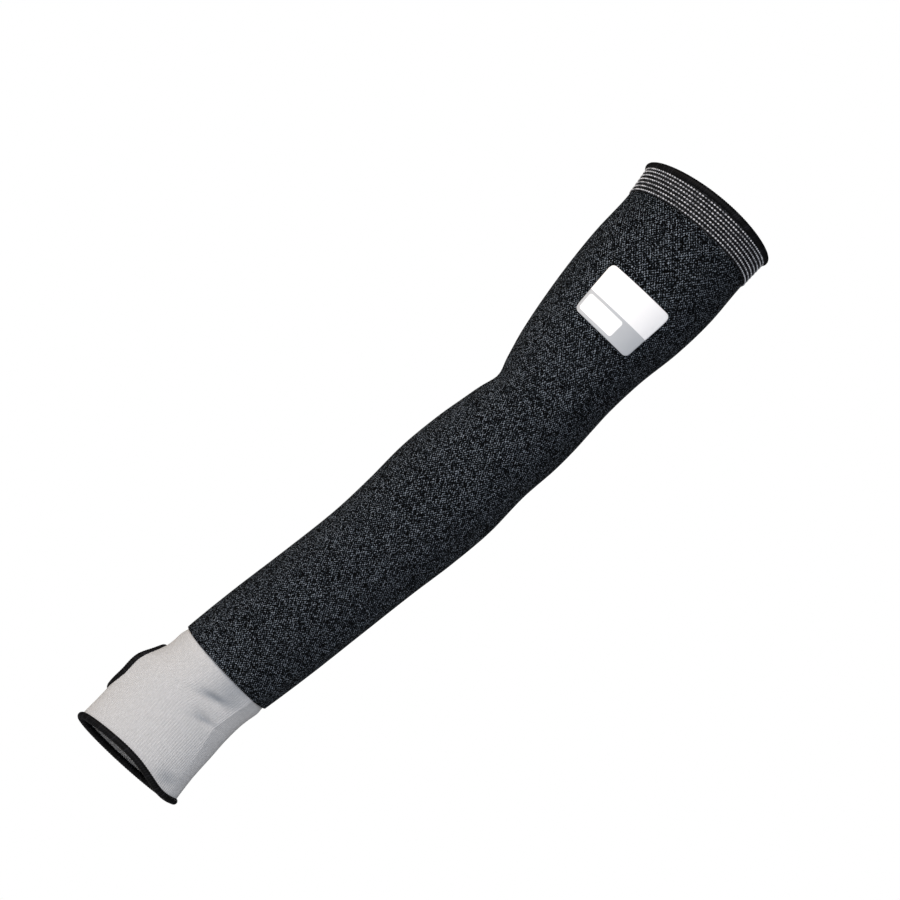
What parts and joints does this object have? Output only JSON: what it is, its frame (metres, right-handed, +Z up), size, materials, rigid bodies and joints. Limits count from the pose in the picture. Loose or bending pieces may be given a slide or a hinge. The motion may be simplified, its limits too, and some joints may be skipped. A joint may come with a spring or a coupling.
{
  "type": "cut resistant sleeve",
  "caption": "Knitted cut resistant arm sleeve in worn form: dark speckled tube, ribbed elastic top, white ribbed cuff with a bound thumb hole, black rolled hems and a bare label",
  "frame": {"origin": "the middle of the upper opening, where the upper arm fills it", "axes": "+Z up towards the shoulder, -X the thumb side, -Y the back of the hand"},
  "size_m": [0.1101, 0.117, 0.5657],
  "materials": {
    "speckled_knit": "jersey knit of black and pale grey cut resistant yarn, matt and lightly speckled",
    "elastic_rib_knit": "black knit with raised rows of pale stitches over elastic",
    "white_rib_knit": "fine lengthwise ribs in white yarn, matt",
    "hem_thread": "black overlock thread wrapped over the edge, slightly ribbed",
    "label_film": "smooth matt heat-pressed film, white over pale grey"
  },
  "bodies": {
    "root": {"upper_hem": "hem_thread", "ribbed_top": "elastic_rib_knit", "arm_tube": "speckled_knit", "hand_cuff": "white_rib_knit", "thumb_hole_binding": "hem_thread", "hand_hem": "hem_thread", "label_patch": "label_film"}
  },
  "joints": []
}
